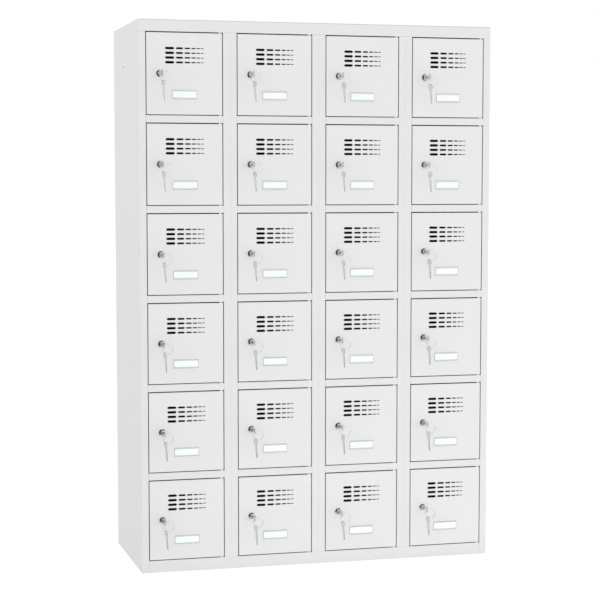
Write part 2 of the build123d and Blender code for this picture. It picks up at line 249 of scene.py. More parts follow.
class Finishes(PropertyGroup):
    """Colours, as they render under plain light."""
    frame_paint: tint("Frame paint", "Powder coat of the carcass", (0.790, 0.790, 0.792))
    door_paint: tint("Door paint", "Powder coat of the doors", (0.806, 0.806, 0.808))
    # Painted shade: the inner paint is the same powder coat made darker, so that the inside, the folds, the
    # gaps beside the doors and the walls of the vents look shaded
    inner_paint: tint("Inner paint", "Thin coat inside, on the shelves and in the folds", (0.50, 0.50, 0.505))
    chrome: tint("Chrome", "Plated collar", (0.84, 0.85, 0.87))
    plug: tint("Plug", "Face of the turning plug", (0.96, 0.975, 1.0))
    collar_roughness: share("Collar roughness", "Roughness of the collar's bright chrome", 0.02)
    plug_roughness: share("Plug roughness", "Roughness of the plug's satin chrome", 0.30)
    key: tint("Key nickel", "Nickel on the keys", (0.80, 0.81, 0.82))
    ring: tint("Ring", "Bright plate on the key rings", (0.97, 0.975, 0.98))
    zinc: tint("Zinc", "Zinc plate on the nut, cam, screw and pins", (0.66, 0.67, 0.68))
    nylon: tint("Nylon", "Hinge washers", (0.86, 0.86, 0.85))
    plastic: tint("Clear plastic", "Card holder", (0.78, 0.83, 0.86))
    card: tint("Card", "Blank card", (0.955, 1.0, 1.0))
    plastic_cover: share("Plastic cover", "How much the holder hides what is behind it", 0.62)
    paint_roughness: share("Paint roughness", "Roughness of the powder coat", 0.44)
    peel: length("Orange peel", "Depth of the powder coat's texture", 0.05 * MM)


class Studio(PropertyGroup):
    """The floor, the lamps and the camera."""
    floor: length("Floor", "Half the side of the floor", 30.0)
    floor_colour: tint("Floor colour", "Colour of the floor in other surfaces' light", (0.42, 0.42, 0.42))
    floor_lift: FloatProperty(
        name="Floor lift", description="How much paler the floor is near the front", default=1.27, min=1.0,
    )
    floor_glow: share("Floor glow", "Share of the floor's white that a shadow leaves", 0.80)
    board_colour: tint("Board colour", "Dark board that bright metal mirrors", (0.018, 0.018, 0.021))
    ambient: FloatProperty(
        name="Ambient", description="Strength of the light from all round", default=1.01, min=0.0,
    )
    lamp_power: FloatProperty(
        name="Lamp power", description="Power of the large soft lamp", default=22.0, unit="POWER",
    )
    lamp_size: length("Lamp size", "Side of the large soft lamp", 3.0)
    lamp_place: spot("Lamp", "Where the lamp hangs", (1.6, -5.2, 1.0))
    lamp_aim: spot("Lamp's aim", "What the lamp points at", (0.0, 0.0, 0.7))
    lens: FloatProperty(
        name="Lens", description="Focal length on a 36 mm sensor", default=103.86, unit="CAMERA",
    )
    camera_place: spot("Camera", "Where the camera stands", (-1.5484, -5.7859, 1.2817))
    camera_turn: bearing("Turn", "Camera's turn to the right", 0.26188)
    camera_tip: bearing("Tip", "Camera's tip downwards", 0.08706)
    shift: FloatProperty(
        name="Shift", description="Upward shift of the view, in frame widths", default=0.0544,
    )


class LockerSettings(PropertyGroup):
    """Everything that a user would change."""
    sheet: PointerProperty(type=SheetSizes, name="Sheet", description="Folded steel")
    door: PointerProperty(type=DoorSizes, name="Door", description="Door, vents and hinges")
    lock: PointerProperty(type=LockSizes, name="Lock", description="Cam lock")
    key: PointerProperty(type=KeySizes, name="Key", description="Keys and key ring")
    card: PointerProperty(type=CardSizes, name="Card", description="Card and card holder")
    finish: PointerProperty(type=Finishes, name="Finish", description="Colours")
    studio: PointerProperty(type=Studio, name="Studio", description="Stage and camera")


# The frame's own places

def compartments():
    """Each door's name ending, such as r1c1, with its row and column."""
    for node in sorted(frame["nodes"]):
        if node.startswith("door_r"):
            row, column = node[len("door_r"):].split("c")
            yield f"r{row}c{column}", int(row), int(column)


def door_corner(cell):
    """The lower left front corner of a door's leaf."""
    low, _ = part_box(f"door_{cell}")
    return Vector((low.x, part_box("front_stiles")[0].y, low.z))


def door_size():
    """A door's width and height."""
    low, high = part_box("door_r1c1")
    return high.x - low.x, high.z - low.z


def lock_place(cell, settings):
    """The lock's axis at the door's face."""
    return door_corner(cell) + Vector((settings.lock.inset, 0, settings.lock.rise))


# Outlines

def arc(centre, radius, start, end, steps):
    """Points of an arc, both ends included."""
    turns = (start + (end - start) * i / steps for i in range(steps + 1))
    return [(centre[0] + radius * math.cos(a), centre[1] + radius * math.sin(a)) for a in turns]


def circle(x, y, radius, steps=40):
    return arc((x, y), radius, 0, math.tau * (steps - 1) / steps, steps - 1)


def rounded(points, radii, steps=4):
    """A closed outline with its corners turned into arcs. radii is one radius, or one for each corner."""
    if not hasattr(radii, "__len__"):
        radii = [radii] * len(points)
    outline = []
    for i, (point, radius) in enumerate(zip(points, radii)):
        here = Vector(point)
        before = (Vector(points[i - 1]) - here).normalized()
        after = (Vector(points[(i + 1) % len(points)]) - here).normalized()
        if radius <= 0:
            outline.append(tuple(here))
            continue
        half = before.angle(after) / 2
        centre = here + (before + after).normalized() * radius / math.sin(half)
        start = here + before * radius / math.tan(half) - centre
        end = here + after * radius / math.tan(half) - centre
        a, b = math.atan2(start.y, start.x), math.atan2(end.y, end.x)
        sweep = (b - a + math.pi) % math.tau - math.pi
        outline += arc(centre, radius, a, a + sweep, steps)
    return outline


def oblong(x0, x1, y0, y1, radius=0.0):
    """A rectangle with round corners."""
    return rounded([(x0, y0), (x1, y0), (x1, y1), (x0, y1)], radius)


def slot_outline(x, y, long, high, grow, steps=8):
    """A slot with round ends, made larger all round by grow."""
    radius, reach = high / 2 + grow, (long - high) / 2
    right = arc((x + reach, y), radius, -math.pi / 2, math.pi / 2, steps)
    return right + arc((x - reach, y), radius, math.pi / 2, math.pi * 1.5, steps)


def channel(depth, low, high, sheet, bend):
    """The section of a rail: a web with a fold at its foot and at its top, both towards +u."""
    outer, rim, over, under = bend + sheet, sheet * 0.2, low + sheet, high - sheet
    return rounded(
        [(depth, low), (0, low), (0, high), (depth, high), (depth, under), (sheet, under), (sheet, over),
         (depth, over)],
        [rim, outer, outer, rim, rim, bend, bend, rim],
    )


# Meshes

def plate(outline, thick, rim, holes=(), lower=0.0, way=UPRIGHT):
    """A flat piece with rounded rims, its holes' rims too, from a closed outline."""
    curve = bpy.data.curves.new("outline", "CURVE")
    curve.dimensions, curve.fill_mode = "2D", "BOTH"
    for points in (outline, *holes):
        spline = curve.splines.new("POLY")
        spline.points.add(len(points) - 1)
        for point, (u, v) in zip(spline.points, points):
            point.co = (u, v, 0, 1)
        spline.use_cyclic_u = True
    curve.extrude = thick / 2 - rim
    curve.bevel_depth, curve.bevel_resolution, curve.offset = rim, 1, -rim
    holder = bpy.data.objects.new("outline", curve)
    bpy.context.scene.collection.objects.link(holder)
    mesh = bpy.data.meshes.new_from_object(holder.evaluated_get(bpy.context.evaluated_depsgraph_get()))
    bpy.data.objects.remove(holder)
    bpy.data.curves.remove(curve)
    mesh.transform(way @ Matrix.Translation((0, 0, lower + thick / 2)))
    return mesh


def from_bmesh(shape):
    """A mesh from a finished bmesh, which is freed."""
    mesh = bpy.data.meshes.new("shape")
    shape.to_mesh(mesh)
    shape.free()
    return mesh


def block(x0, x1, y0, y1, z0, z1):
    """A plain box, for cutting and for hidden joints."""
    shape = bmesh.new()
    bmesh.ops.create_cube(shape, size=1)
    middle = Matrix.Translation(((x0 + x1) / 2, (y0 + y1) / 2, (z0 + z1) / 2))
    size = Matrix.Diagonal((x1 - x0, y1 - y0, z1 - z0, 1))
    bmesh.ops.transform(shape, matrix=middle @ size, verts=shape.verts)
    return from_bmesh(shape)


def bridge(shape, first, second):
    """Faces between two closed loops of as many points."""
    for i in range(len(first)):
        shape.faces.new((first[i - 1], first[i], second[i], second[i - 1]))


def turned(profile, steps=48, ring=False, thread=None):
    """A piece turned about the Y axis from (radius, depth) pairs. ring closes the profile on itself, for a
    bored piece. thread is (start, end, pitch, depth) of a screw thread cut into the pairs between."""
    shape, loops = bmesh.new(), []
    for radius, depth in profile:
        if radius <= 0:
            loops.append([shape.verts.new((0, depth, 0))])
            continue
        loop = []
        for i in range(steps):
            angle, cut = math.tau * i / steps, 0.0
            if thread and thread[0] < depth < thread[1]:
                cut = thread[3] * abs(2 * ((depth / thread[2] - i / steps) % 1) - 1)
            reach = radius - cut
            loop.append(shape.verts.new((reach * math.cos(angle), depth, reach * math.sin(angle))))
        loops.append(loop)
    for first, second in zip(loops, loops[1:] + (loops[:1] if ring else [])):
        if len(first) > 1 and len(second) > 1:
            bridge(shape, first, second)
        elif len(first) + len(second) > 2:
            pole, loop = (first[0], second) if len(first) == 1 else (second[0], first)
            for i in range(len(loop)):
                shape.faces.new((pole, loop[i - 1], loop[i]))
    return from_bmesh(shape)


def threaded(radius, start, end, pitch):
    """The outer pairs of a threaded length, close enough together for its thread."""
    count = round((end - start) / pitch * 4)
    return [(radius, start + (end - start) * i / count) for i in range(count + 1)]


def rod(radius, start, end, at=(0, 0, 0), way=UPRIGHT, steps=32):
    """A plain round bar along the way's third axis, for cutting."""
    shape = bmesh.new()
    loops = [[shape.verts.new((u, v, w)) for u, v in circle(0, 0, radius, steps)] for w in (start, end)]
    bridge(shape, *loops)
    for loop in loops:
        shape.faces.new(loop)
    mesh = from_bmesh(shape)
    mesh.transform(Matrix.Translation(at) @ way)
    return mesh


def pan(width, height, profile, thick, corner, holes=(), rim=0.0):
    """A tray with folded walls, its face in the XZ plane and its walls towards +Y. profile is (inset, depth)
    pairs from the face, round the rim and back. holes are outlines that take the amount by which they widen."""
    shape = bmesh.new()

    def loop(outline, depth):
        return [shape.verts.new((u, depth, v)) for u, v in outline]

    def fill(loops):
        """Triangles between the outer loop and the holes' loops, none of them across a hole."""
        verts = [v for one in loops for v in one]
        owners = [i for i, one in enumerate(loops) for _ in one]
        flat = [Vector((v.co.x, v.co.z)) for v in verts]
        edges, start = [], 0
        for one in loops:
            edges += [(start + i, start + (i + 1) % len(one)) for i in range(len(one))]
            start += len(one)
        made = delaunay_2d_cdt(flat, edges, [], 0, 1e-9)
        for triangle in made[2]:
            corners = [made[3][i][0] for i in triangle]
            if owners[corners[0]] == 0 or len({owners[i] for i in corners}) > 1:
                shape.faces.new([verts[i] for i in corners])

    walls = []
    for inset, depth in profile:
        radius = max(corner - inset, 0.15 * MM)
        walls.append(loop(oblong(inset, width - inset, inset, height - inset, radius), depth))
    for first, second in zip(walls, walls[1:]):
        bridge(shape, first, second)
    faces = [[walls[0]], [walls[-1]]]
    for hole in holes:
        steps = ((rim, 0), (0, rim), (0, thick - rim), (rim, thick))
        rings = [loop(hole(grow), depth) for grow, depth in steps]
        for first, second in zip(rings, rings[1:]):
            bridge(shape, first, second)
        faces[0].append(rings[0])
        faces[1].append(rings[-1])
    for loops in faces:
        fill(loops)
    return from_bmesh(shape)


def wall_profile(depth, sheet, fold=None):
    """The (inset, depth) pairs of a tray's wall. fold is the width of a fold along the floor at its end."""
    thick, bend, rim = sheet.thick, sheet.bend, sheet.rim
    outer = bend + thick
    quarter = [math.pi / 2 * i / 4 for i in range(5)]
    face = [(outer - outer * math.sin(a), outer - outer * math.cos(a)) for a in quarter]
    inner = [(outer - bend * math.sin(a), outer - bend * math.cos(a)) for a in reversed(quarter)]
    if fold is None:
        return face + [(0, depth - rim), (rim, depth), (thick - rim, depth), (thick, depth - rim)] + inner
    foot = [(outer - outer * math.cos(a), depth - outer + outer * math.sin(a)) for a in quarter]
    edge = [(fold - rim, depth), (fold, depth - rim), (fold, depth - thick + rim), (fold - rim, depth - thick)]
    upper = [(outer - bend * math.cos(a), depth - outer + bend * math.sin(a)) for a in reversed(quarter)]
    return face + foot + edge + upper + inner


def carved(mesh, cutters=(), added=()):
    """The mesh with solids added to it and then cut out of it."""
    links = bpy.context.scene.collection.objects
    body = bpy.data.objects.new("body", mesh)
    links.link(body)
    others = []
    for operation, meshes in (("UNION", added), ("DIFFERENCE", cutters)):
        for other in meshes:
            tool = bpy.data.objects.new("tool", other)
            links.link(tool)
            others.append(tool)
            step = body.modifiers.new(operation, "BOOLEAN")
            step.operation, step.solver, step.object = operation, "EXACT", tool
    result = bpy.data.meshes.new_from_object(body.evaluated_get(bpy.context.evaluated_depsgraph_get()))
    for leftover in (body, *others):
        data = leftover.data
        bpy.data.objects.remove(leftover)
        bpy.data.meshes.remove(data)
    return result


def gathered(parts):
    """One mesh from (mesh, place) pairs."""
    shape = bmesh.new()
    for mesh, place in parts:
        before = len(shape.verts)
        shape.from_mesh(mesh)
        shape.verts.ensure_lookup_table()
        bmesh.ops.translate(shape, vec=place, verts=shape.verts[before:])
    return from_bmesh(shape)


def finished(mesh, name, *materials, inside=None):
    """The mesh made ready to show: welded, facing outwards, smooth but for its corners, with level flat
    faces. inside tells from a face's middle and direction whether it takes the second material."""
    shape = bmesh.new()
    shape.from_mesh(mesh)
    bpy.data.meshes.remove(mesh)
    bmesh.ops.remove_doubles(shape, verts=shape.verts, dist=WELD)
    bmesh.ops.recalc_face_normals(shape, faces=shape.faces)
    for face in shape.faces:
        face.smooth = True
        face.material_index = 1 if inside and inside(face.calc_center_median(), face.normal) else 0
    for edge in shape.edges:
        edge.smooth = edge.is_manifold and edge.calc_face_angle(0) < SHARP
    holder = bpy.data.objects.new("shape", from_bmesh(shape))
    bpy.context.scene.collection.objects.link(holder)
    level = holder.modifiers.new("Level", "WEIGHTED_NORMAL")
    level.keep_sharp, level.weight = True, 100
    result = bpy.data.meshes.new_from_object(holder.evaluated_get(bpy.context.evaluated_depsgraph_get()))
    rough = holder.data
    bpy.data.objects.remove(holder)
    bpy.data.meshes.remove(rough)
    result.name = name
    kept = [face.material_index for face in result.polygons]
    result.materials.clear()
    for material in materials:
        result.materials.append(material)
    result.polygons.foreach_set("material_index", kept)
    return result


def behind(depth):
    """Picks the faces that lie behind this depth and don't look to the front. These take the darker inner coat,
    which is painted shade.
    """
    return lambda middle, normal: middle.y > depth and normal.y > -0.1


def looking(*direction, least=0.5):
    """Picks the faces that look this way, least being 1 for straight and 0 for sideways. The carcass uses it to
    give its inward faces the darker inner coat, which is painted shade.
    """
    return lambda middle, normal: normal.dot(Vector(direction)) > least


def show(name, mesh, body, node, at=(0, 0, 0)):
    """Puts a piece in the scene on its body, in place of its frame node."""
    piece = bpy.data.objects.new(name, mesh)
    bpy.context.scene.collection.objects.link(piece)
    piece.location = at
    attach(piece, body)
    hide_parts(node)


def show_steel(settings, name, mesh, node, inside=None):
    """Shows a painted piece of the carcass. inside picks the faces with the inner coat, a darker painted shade,
    or else all have it.
    """
    coats = [paint(settings, part) for part in (("frame", "inner") if inside else ("inner",))]
    show(name, finished(mesh, name, *coats, inside=inside), "carcass", node)


# Materials

class Socket:
    """A number that varies over a surface. Python arithmetic on it adds the Math nodes."""

    def __init__(self, recipe, output):
        self.recipe, self.output = recipe, output

    def math(self, operation, first, second):
        return self.recipe.node("ShaderNodeMath", {"operation": operation}, first, second)

    def __add__(self, other):
        return self.math("ADD", self, other)

    __radd__ = __add__

    def __sub__(self, other):
        return self.math("SUBTRACT", self, other)

    def __rsub__(self, other):
        return self.math("SUBTRACT", other, self)

    def __mul__(self, other):
        return self.math("MULTIPLY", self, other)

    __rmul__ = __mul__

    def step(self, low, high):
        """0 below low, 1 above high, and smooth between them."""
        return self.recipe.node("ShaderNodeMapRange", {"interpolation_type": "SMOOTHSTEP"}, self, low, high)


class Recipe:
    """A node tree and the few ways in which this file adds to it."""

    def __init__(self, owner):
        owner.use_nodes = True
        self.owner, self.tree = owner, owner.node_tree
        self.tree.nodes.clear()

    def node(self, kind, settings, *ordered, out=0, **named):
        """Adds a node: its settings first, then the values or links of its sockets."""
        made = self.tree.nodes.new(kind)
        for name, value in settings.items():
            setattr(made, name, value)
        for name, value in [*enumerate(ordered), *named.items()]:
            socket = made.inputs[name if isinstance(name, int) else name.replace("_", " ")]
            if isinstance(value, Socket):
                self.tree.links.new(value.output, socket)
            elif value is not None:
                socket.default_value = value
        return Socket(self, made.outputs[out]) if len(made.outputs) else None

    def blend(self, factor, first, second):
        """A colour between two colours. The five sockets between are for numbers and vectors."""
        ends = [end if isinstance(end, Socket) else (*end, 1.0) for end in (first, second)]
        return self.node("ShaderNodeMix", {"data_type": "RGBA"}, factor, *[None] * 5, *ends, out=2)

    def toned(self, factor, colour, low):
        """A colour that darkens a little where the factor is low."""
        return self.blend(factor, scaled(colour, low), colour)

    def place(self):
        """Where on the object a point lies, in metres."""
        return self.node("ShaderNodeTexCoord", {}, out="Object")

    def axis(self, vector, name):
        """One of a vector's three numbers."""
        return self.node("ShaderNodeSeparateXYZ", {}, vector, out=name)

    def path(self, name):
        """What kind of ray asks, as 0 or 1."""
        return self.node("ShaderNodeLightPath", {}, out=name)

    def stretched(self, place, scale):
        """The place for a pattern that runs along the axes with the small numbers."""
        return self.node("ShaderNodeMapping", {}, place, Scale=scale)

    def noise(self, place, scale, detail=2.0, rough=0.5):
        """Noise with about this many grains in a metre."""
        return self.node("ShaderNodeTexNoise", {}, Vector=place, Scale=scale, Detail=detail, Roughness=rough)

    def bump(self, height, distance, strength):
        """The surface's direction where the height varies by this distance."""
        return self.node("ShaderNodeBump", {}, strength, distance, Height=height, out="Normal")

    def surface(self, **values):
        """Ends a material's recipe and returns the material."""
        shader = self.node("ShaderNodeBsdfPrincipled", {}, **values)
        self.node("ShaderNodeOutputMaterial", {}, Surface=shader)
        return self.owner


def fresh(name):
    """A new material's recipe, and the place on the object that it varies with."""
    recipe = Recipe(bpy.data.materials.new(name))
    return recipe, recipe.place()


def scaled(colour, factor):
    """A colour made lighter or darker."""
    return [min(1.0, c * factor) for c in colour]


def powder_coat(name, colour, finish):
    """Baked powder paint: a fine orange peel, a slow drift of tone and gloss, and a pale grain in the film."""
    recipe, place = fresh(name)
    drift = recipe.noise(place, 2.3, detail=3.0)
    grain = recipe.noise(place, 950.0, detail=2.0, rough=0.7)
    peel = recipe.noise(place, 330.0, detail=2.0, rough=0.45)
    tone = drift * 0.6 + grain * 0.4
    return recipe.surface(
        Base_Color=recipe.blend(tone, scaled(colour, 0.985), scaled(colour, 1.012)),
        Roughness=finish.paint_roughness - 0.05 + drift * 0.05 + grain * 0.05,
        Normal=recipe.bump(peel + grain * 0.25, finish.peel, 0.35),
    )


def chrome_plate(name, colour, rough):
    """Bright plate with the faint rings that turning leaves."""
    recipe, place = fresh(name)
    rings = recipe.node("ShaderNodeTexWave", {"wave_type": "RINGS", "rings_direction": "Y"}, Vector=place,
                        Scale=900.0, Distortion=0.6, out="Fac")
    haze = recipe.noise(place, 260.0, detail=3.0)
    return recipe.surface(
        Base_Color=recipe.toned(haze, colour, 0.96),
        Metallic=1.0,
        Roughness=haze * 0.04 + rings * 0.02 + rough,
        Normal=recipe.bump(rings, 0.004 * MM, 0.3),
    )


def brushed_nickel(name, colour):
    """Stamped and tumbled nickel plate, with fine scratches along the key and small dings."""
    recipe, place = fresh(name)
    scratches = recipe.noise(recipe.stretched(place, (1.0, 1.0, 14.0)), 420.0, detail=3.0, rough=0.6)
    dings = recipe.noise(place, 520.0, detail=1.0).step(0.62, 0.72)
    return recipe.surface(
        Base_Color=recipe.toned(1 - dings * 0.5, colour, 0.9),
        Metallic=1.0,
        Roughness=scratches * 0.16 + dings * 0.1 + 0.14,
        Normal=recipe.bump(scratches - dings * 0.4, 0.02 * MM, 0.35),
    )


def zinc_plate(name, colour):
    """Dull bright zinc with its small crystals."""
    recipe, place = fresh(name)
    crystals = recipe.node("ShaderNodeTexVoronoi", {"feature": "F1"}, Vector=place, Scale=380.0,
                           out="Distance")
    cloud = recipe.noise(place, 160.0, detail=3.0)
    return recipe.surface(
        Base_Color=recipe.toned(crystals * 0.6 + cloud * 0.4, colour, 0.88),
        Metallic=1.0,
        Roughness=cloud * 0.2 + crystals * 0.1 + 0.22,
        Normal=recipe.bump(cloud, 0.02 * MM, 0.3),
    )


def moulded_nylon(name, colour):
    """White nylon with a faint mottle."""
    recipe, place = fresh(name)
    mottle = recipe.noise(place, 240.0, detail=3.0)
    return recipe.surface(
        Base_Color=recipe.toned(mottle, colour, 0.97),
        Roughness=mottle * 0.12 + 0.42,
        Normal=recipe.bump(recipe.noise(place, 1400.0, detail=2.0), 0.02 * MM, 0.3),
    )


def clear_plastic(name, colour, cover):
    """Extruded clear plastic: long faint flow lines and a little haze."""
    recipe, place = fresh(name)
    flow = recipe.noise(recipe.stretched(place, (0.08, 1.0, 1.0)), 700.0, detail=2.0)
    haze = recipe.noise(place, 90.0, detail=3.0)
    return recipe.surface(
        Base_Color=recipe.toned(haze, colour, 0.97),
        Roughness=haze * 0.08 + flow * 0.06 + 0.10,
        Alpha=cover,
        Normal=recipe.bump(flow, 0.02 * MM, 0.3),
    )


def card_stock(name, colour):
    """Smooth white card with its fibres."""
    recipe, place = fresh(name)
    fibres = recipe.noise(recipe.stretched(place, (0.4, 1.0, 1.0)), 1500.0, detail=4.0, rough=0.65)
    cloud = recipe.noise(place, 60.0, detail=2.0)
    return recipe.surface(
        Base_Color=recipe.toned(fibres * 0.5 + cloud * 0.5, colour, 0.985),
        Roughness=fibres * 0.1 + 0.66,
        Normal=recipe.bump(fibres, 0.015 * MM, 0.3),
    )


def paint(settings, part):
    """The powder coat of the frame, the doors or the inside, made once. The inside's coat is darker, as painted
    shade.
    """
    name = f"{part}_powder_coat"
    made = bpy.data.materials.get(name)
    return made or powder_coat(name, getattr(settings.finish, f"{part}_paint"), settings.finish)


def zinc(settings):
    """The zinc plate, made once."""
    return bpy.data.materials.get("zinc_plate") or zinc_plate("zinc_plate", settings.finish.zinc)


# Carcass

class LOCKER_OT_sides(Operator):
    """Make the two side sheets with their joining holes"""
    bl_idname, bl_label = "locker.sides", "Side sheets"

    def execute(self, context):
        settings = context.scene.locker
        sheet = settings.sheet
        for node, side in (("left_side_panel", -1), ("right_side_panel", 1)):
            low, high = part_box(node)
            holes = [circle(low.y + y, z, sheet.bolt_radius, 24) for z in sheet.bolt_levels
                     for y in (sheet.bolt_front, sheet.bolt_rear)]
            back = low.y + sheet.side_hole_back
            holes.append(circle(back, sheet.side_hole_level, sheet.side_hole_radius, 32))
            outline = oblong(low.y, high.y, low.z, high.z, sheet.corner)
            mesh = plate(outline, sheet.thick, sheet.rim, holes, low.x, SIDEWAYS)
            show_steel(settings, f"{node}_sheet", mesh, node, looking(-side, 0, 0))
        return {"FINISHED"}


class LOCKER_OT_back(Operator):
    """Make the back sheet with its wall-fixing holes"""
    bl_idname, bl_label = "locker.back", "Back sheet"

    def execute(self, context):
        settings = context.scene.locker
        sheet = settings.sheet
        low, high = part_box("back_panel")
        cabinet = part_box("top_panel")[1]
        reach = cabinet.x - sheet.wall_inset
        levels = (cabinet.z - sheet.wall_drop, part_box("base_panel")[1].z + sheet.wall_drop)
        holes = [circle(x, z, sheet.wall_hole_radius, 28) for x in (-reach, reach) for z in levels]
        outline = oblong(low.x, high.x, low.z, high.z, sheet.corner)
        mesh = plate(outline, sheet.thick, sheet.rim, holes, -high.y, FRONTAL)
        show_steel(settings, "back_sheet", mesh, "back_panel", looking(0, -1, 0))
        return {"FINISHED"}


class LOCKER_OT_top(Operator):
    """Make the top sheet with its lips, and the channel above the doors"""
    bl_idname, bl_label = "locker.top", "Top sheet and top rail"

    def execute(self, context):
        settings = context.scene.locker
        sheet = settings.sheet
        low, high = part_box("top_panel")
        t, rim, corner, fine = sheet.thick, 0.3 * MM, 0.4 * MM, 0.1 * MM
        inner, under = high.x - t, high.z - t / 2
        cover = plate(oblong(low.x, high.x, low.y, high.y, corner), t, rim, (), high.z - t)
        lips = [block(-inner, inner, high.y - 2 * t, high.y - t, low.z, under)]
        for x in (-inner, inner - t):
            lips.append(block(x, x + t, low.y + sheet.rail_fold, high.y - 1.5 * t, low.z, under))
        inside = looking(0, 0, -1, least=0.3)
        show_steel(settings, "top_sheet", carved(cover, added=lips), "top_panel", inside)

        low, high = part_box("top_rail")
        section = channel(sheet.rail_fold, low.z, high.z, t, sheet.bend)
        rail = plate([(low.y + u, v) for u, v in section], high.x - low.x, fine, (), low.x, SIDEWAYS)
        cutters = [block(x, x + 2 * t, low.y + t, high.y + PAST, low.z - t, high.z + t)
                   for x in (-inner - 2 * t, inner)]
        cutters += [pin_hole(settings, x, low.y, low.z) for x in hinge_lines(settings)]
        show_steel(settings, "top_rail_channel", carved(rail, cutters), "top_rail", behind(low.y + INNER * t))
        return {"FINISHED"}


def hinge_lines(settings):
    """The X of each column's hinge."""
    corners = sorted({round(door_corner(cell).x, 6) for cell, _, _ in compartments()})
    return [x + door_size()[0] - settings.door.pin_inset for x in corners]


def pin_hole(settings, x, front, level):
    """A cutter for the hole that a hinge pin passes in a sheet at this level."""
    door = settings.door
    return rod(door.pin_radius + door.pin_fit, -PAST, PAST, (x, front + door.pin_setback, level))


class LOCKER_OT_base(Operator):
    """Make the tray under the lowest doors"""
    bl_idname, bl_label = "locker.base", "Base tray"

    def execute(self, context):
        settings = context.scene.locker
        sheet = settings.sheet
        low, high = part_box("base_panel")
        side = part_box("top_panel")[1].x
        profile = wall_profile(high.z - low.z, sheet, sheet.floor_fold)
        tray = pan(high.x - low.x, high.y - low.y, profile, sheet.thick, sheet.tray_corner)
        tray.transform(Matrix.Translation((low.x, low.y, high.z)) @ FRONTAL.inverted())
        cutters = [pin_hole(settings, x, low.y, high.z) for x in hinge_lines(settings)]
        for x0 in (-side - PAST, side - sheet.stile_face):
            x1 = x0 + sheet.stile_face + PAST
            cutters.append(block(x0, x1, low.y - PAST, low.y + sheet.stile_fold, -PAST, high.z + PAST))
        inside = behind(low.y + INNER * sheet.thick)
        show_steel(settings, "base_tray", carved(tray, cutters), "base_panel", inside)
        return {"FINISHED"}


class LOCKER_OT_stiles(Operator):
    """Make the folded uprights beside the doors"""
    bl_idname, bl_label = "locker.stiles", "Stiles"

    def execute(self, context):
        settings = context.scene.locker
        sheet = settings.sheet
        low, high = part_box("front_stiles")
        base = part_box("base_panel")[1].z
        edges = bay_edges()
        uprights = [(edges[0], 1, low.z), (edges[-1], -1, low.z)]
        uprights += [(x, way, base) for x in edges[1:-1] for way in (-1, 1)]
        mesh = gathered([(stile(sheet, x, way, low.y, foot, high.z), (0, 0, 0))
                         for x, way, foot in uprights])
        show_steel(settings, "stiles", mesh, "front_stiles", behind(low.y + INNER * sheet.thick))
        return {"FINISHED"}


def bay_edges():
    """The X of the cabinet's sides and of the lines between its columns."""
    low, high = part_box("top_panel")
    count = max(column for _, _, column in compartments())
    return [low.x + (high.x - low.x) * i / count for i in range(count + 1)]


def stile(sheet, edge, way, front, foot, top):
    """One upright, from a bay's edge towards its door, with a fold by the door and one at the wall."""
    t, bend, face, fold, rim = sheet.thick, sheet.bend, sheet.stile_face, sheet.stile_fold, sheet.rim
    section = rounded(
        [(0, 0), (face, 0), (face, fold), (face - t, fold), (face - t, t), (2 * t, t), (2 * t, fold),
         (t, fold), (t, t), (0, t)],
        [bend, t + bend, rim, rim, bend, bend, rim, rim, 0, rim],
    )
    return plate([(edge + way * u, front + v) for u, v in section], top - foot, sheet.end_rim, (), foot)


class LOCKER_OT_cross_rails(Operator):
    """Make the channels between the doors"""
    bl_idname, bl_label = "locker.cross_rails", "Cross rails"

    def execute(self, context):
        settings = context.scene.locker
        sheet, gap, over = settings.sheet, settings.door.gap, settings.door.top_gap
        width, height = door_size()
        corners = {(row, column): door_corner(cell) for cell, row, column in compartments()}
        top, under = corners[1, 1].z - gap, corners[2, 1].z + height + over
        section = channel(sheet.rail_fold, under - top, 0, sheet.thick, sheet.bend)
        rail = plate(section, width + 2 * gap, sheet.end_rim, (), -gap, SIDEWAYS)
        x = width - settings.door.pin_inset
        rail = carved(rail, [pin_hole(settings, x, 0, z) for z in (under - top, 0)])
        places = [corner - Vector((0, 0, gap)) for (row, column), corner in sorted(corners.items())
                  if (row + 1, column) in corners]
        mesh = gathered([(rail, place) for place in places])
        inside = behind(places[0].y + INNER * sheet.thick)
        show_steel(settings, "cross_rail_channels", mesh, "cross_rails", inside)
        return {"FINISHED"}


class LOCKER_OT_shelves(Operator):
    """Make the floors of the compartments"""
    bl_idname, bl_label = "locker.shelves", "Shelves"

    def execute(self, context):
        settings = context.scene.locker
        sheet = settings.sheet
        t, spare = sheet.thick, 4 * MM  # spare is cut off, so that the shelf has no lip in front
        low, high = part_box("shelves")
        edges = bay_edges()
        width, depth = edges[1] - edges[0] - 2 * t, high.y - low.y
        tray = pan(width, depth + spare, wall_profile(sheet.lip, sheet), t, sheet.tray_corner)
        tray.transform(Matrix.Translation((0, -spare, 0)) @ FRONTAL.inverted())
        tray = carved(tray, [block(-t, width + t, -2 * spare, 0, -sheet.lip - t, t)])
        places = []
        for cell, _, column in compartments():
            level = door_corner(cell).z - settings.door.gap - t
            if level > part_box("base_panel")[1].z:
                places.append((edges[column - 1] + t, low.y, level))
        # The shelves take the darker inner coat all over: painted shade inside the compartments
        show_steel(settings, "shelf_trays", gathered([(tray, place) for place in places]), "shelves")
        return {"FINISHED"}


